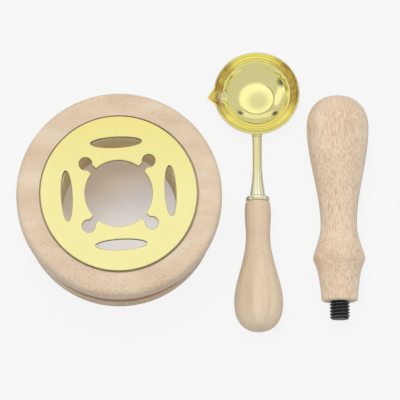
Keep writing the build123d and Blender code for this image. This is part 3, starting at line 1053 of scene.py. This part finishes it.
def make_floor():
    """White paper that takes the pieces' shadows and shows the camera a plain pale ground, with painted shade
    and light in the stove's bore.
    """
    mesh = bpy.data.meshes.new("floor")
    reach = FLOOR_REACH
    mesh.from_pydata([(-reach, -reach, 0), (reach, -reach, 0), (reach, reach, 0), (-reach, reach, 0)], [],
                     [(0, 1, 2, 3)])
    floor = bpy.data.objects.new("floor", mesh)
    bpy.context.scene.collection.objects.link(floor)
    material, tree, shader = new_material("floor_paper")
    shader.inputs["Roughness"].default_value = FLOOR_ROUGHNESS
    shader.inputs["Specular IOR Level"].default_value = 0.0
    ray = tree.nodes.new("ShaderNodeLightPath")
    mirrored = maths(tree, "MULTIPLY", ray.outputs["Is Glossy Ray"], FLOOR_MIRRORED)
    seen = maths(tree, "MAXIMUM", ray.outputs["Is Camera Ray"], mirrored)
    paper = add(tree, "ShaderNodeEmission", Strength=1.0)
    place = tree.nodes.new("ShaderNodeTexCoord")
    from_axis = length_of(tree, place.outputs["Object"])
    outside = span(tree, from_axis, BORE_RADIUS * MM, WAIST_RADIUS * MM)
    # Under the bore the paper is paler and warmer, a painted bounce of light from the wood.
    base = blend_colour(tree, outside, BORE_PAPER_PAINTED_BOUNCE, (FLOOR_PAPER,) * 3)
    tree.links.new(base, shader.inputs["Base Color"])
    # In the bore the paper shows painted shade, dimmer and warmer, and painted light towards the front right.
    along = add(tree, "ShaderNodeVectorMath", operation="DOT_PRODUCT")
    tree.links.new(place.outputs["Object"], along.inputs[0])
    along.inputs[1].default_value = BORE_PAINTED_LIGHT_DIRECTION
    lit = span(tree, along.outputs["Value"], BORE_PAINTED_LIGHT_SPAN[0] * MM, BORE_PAINTED_LIGHT_SPAN[1] * MM)
    bore_painted_shade_and_light = blend_colour(tree, span(tree, lit, *BORE_SHADE_TO_LIGHT_SPAN), BORE_PAINTED_SHADE, BORE_PAINTED_LIGHT)
    tone = blend_colour(tree, outside, bore_painted_shade_and_light, (FLOOR_WHITE,) * 3)
    tree.links.new(tone, paper.inputs["Color"])
    # Painted shade: less glow in the bore, rising towards the front right as painted light.
    inside = span(tree, lit, 0.0, 1.0, *BORE_PAINTED_GLOW)
    lift = maths(tree, "MULTIPLY", maths(tree, "SUBTRACT", FLOOR_GLOW, inside), outside)
    glow = maths(tree, "ADD", inside, lift)
    blend = tree.nodes.new("ShaderNodeMixShader")
    tree.links.new(maths(tree, "MULTIPLY", seen, glow), blend.inputs["Fac"])
    tree.links.new(shader.outputs["BSDF"], blend.inputs[1])
    tree.links.new(paper.outputs["Emission"], blend.inputs[2])
    tree.links.new(blend.outputs["Shader"], tree.nodes["Material Output"].inputs["Surface"])
    mesh.materials.append(material)


def make_key_light():
    """Large round lamp, high up at the back left. The metal mirrors the tent and not this lamp."""
    lamp = bpy.data.lights.new("key", "AREA")
    lamp.shape = "DISK"
    lamp.size = KEY_SIZE
    lamp.energy = KEY_POWER
    light = bpy.data.objects.new("key", lamp)
    bpy.context.scene.collection.objects.link(light)
    light.location = KEY_PLACE
    light.rotation_mode = "QUATERNION"
    light.rotation_quaternion = (Vector(KEY_TARGET) - Vector(KEY_PLACE)).to_track_quat("-Z", "Y")
    light.visible_glossy = False


def make_world():
    """Light tent: a big bright panel overhead and behind, dark seams, a side window and walls."""
    world = bpy.data.worlds.new("studio")
    world.use_nodes = True
    bpy.context.scene.world = world
    tree = world.node_tree
    background = tree.nodes["Background"]
    place = tree.nodes.new("ShaderNodeTexCoord")
    heading = add(tree, "ShaderNodeVectorMath", operation="NORMALIZE")
    tree.links.new(place.outputs["Generated"], heading.inputs[0])

    def share_along(direction):
        """Cosine of a heading's angle from a direction of length 1."""
        node = add(tree, "ShaderNodeVectorMath", operation="DOT_PRODUCT")
        tree.links.new(heading.outputs["Vector"], node.inputs[0])
        node.inputs[1].default_value = direction
        return node.outputs["Value"]

    def towards(direction):
        """Angle of a heading from a direction."""
        return maths(tree, "ARCCOSINE", share_along(Vector(direction).normalized()))

    def panel(direction, wide, high, soft):
        """Share of a soft-edged upright panel that a heading sees; sizes are half angles."""
        middle = Vector(direction).normalized()
        side = Vector((0, 0, 1)).cross(middle).normalized()
        depth = share_along(middle)
        across = maths(tree, "ARCTAN2", share_along(side), depth)
        along = maths(tree, "ARCTAN2", share_along(middle.cross(side)), depth)
        across = span(tree, maths(tree, "ABSOLUTE", across), wide, wide + soft, 1.0, 0.0)
        along = span(tree, maths(tree, "ABSOLUTE", along), high, high + soft, 1.0, 0.0)
        return maths(tree, "MULTIPLY", across, along)

    def lay(level, share, value):
        """Level with a panel of the given level laid over it."""
        mixed = add(tree, "ShaderNodeMix")
        for socket, entry in zip((mixed.inputs[0], mixed.inputs[2], mixed.inputs[3]), (share, level, value)):
            if isinstance(entry, (int, float)):
                socket.default_value = entry
            else:
                tree.links.new(entry, socket)
        return mixed.outputs[0]

    from_panel = towards(PANEL_DIRECTION)
    # Side walls: brighter the nearer a heading comes to the left or right horizon.
    sideways = maths(tree, "ABSOLUTE", share_along((1, 0, 0)))
    low = span(tree, share_along((0, 0, 1)), *LOW_WALL, 1.0, 0.0)
    level = lay(lay(WALL_LEVEL, low, LOW_LEVEL), span(tree, sideways, *SIDE_WALL), SIDE_LEVEL)
    level = lay(level, span(tree, sideways, *HORIZON), HORIZON_LEVEL)
    level = lay(level, panel(BACK_DIRECTION, *BACK_SIZE), BACK_LEVEL)
    level = lay(level, panel(WINDOW_DIRECTION, *WINDOW_SIZE), WINDOW_LEVEL)
    for direction, dark, clear in DARK_SPOTS:
        level = lay(level, span(tree, towards(direction), dark, clear, 1.0, 0.0), DARK_LEVEL)
    edge = [PANEL_EDGE + soft for soft in PANEL_SOFT]
    level = lay(level, span(tree, from_panel, *edge, 1.0, 0.0), PANEL_LEVEL)
    level = lay(level, span(tree, towards(CORE_DIRECTION), *CORE_SPAN, 1.0, 0.0), CORE_LEVEL)
    # The seam shows on the side away from the light.
    seam = maths(tree, "ABSOLUTE", maths(tree, "SUBTRACT", from_panel, PANEL_EDGE + SEAM_WIDTH))
    seam = span(tree, seam, 0.0, SEAM_WIDTH, 1.0, 0.0)
    shown = span(tree, share_along(Vector(SEAM_SIDE).normalized()), *SEAM_SHOWN)
    level = lay(level, maths(tree, "MULTIPLY", seam, shown), SEAM_LEVEL)
    # Behind the floor's edge the tent itself is plain and pale.
    ray = tree.nodes.new("ShaderNodeLightPath")
    level = lay(level, ray.outputs["Is Camera Ray"], TENT_SEEN)
    tree.links.new(level, background.inputs["Color"])


make_floor()
make_world()
make_key_light()

camera_data = bpy.data.cameras.new("camera")
camera_data.sensor_width = CAMERA_SENSOR
camera_data.lens = CAMERA_SENSOR * CAMERA_DISTANCE / (PIXELS / PIXELS_PER_MM * MM)
camera_data.clip_end = CAMERA_CLIP_END
camera = bpy.data.objects.new("camera", camera_data)
bpy.context.scene.collection.objects.link(camera)
backwards = Vector((0, -cos(CAMERA_ELEVATION), sin(CAMERA_ELEVATION)))
camera.location = VIEW_CENTRE + backwards * CAMERA_DISTANCE
camera.rotation_mode = "QUATERNION"
camera.rotation_quaternion = (-backwards).to_track_quat("-Z", "Y")
bpy.context.scene.camera = camera
bpy.context.scene.view_settings.view_transform = "Standard"

bpy.context.view_layer.update()
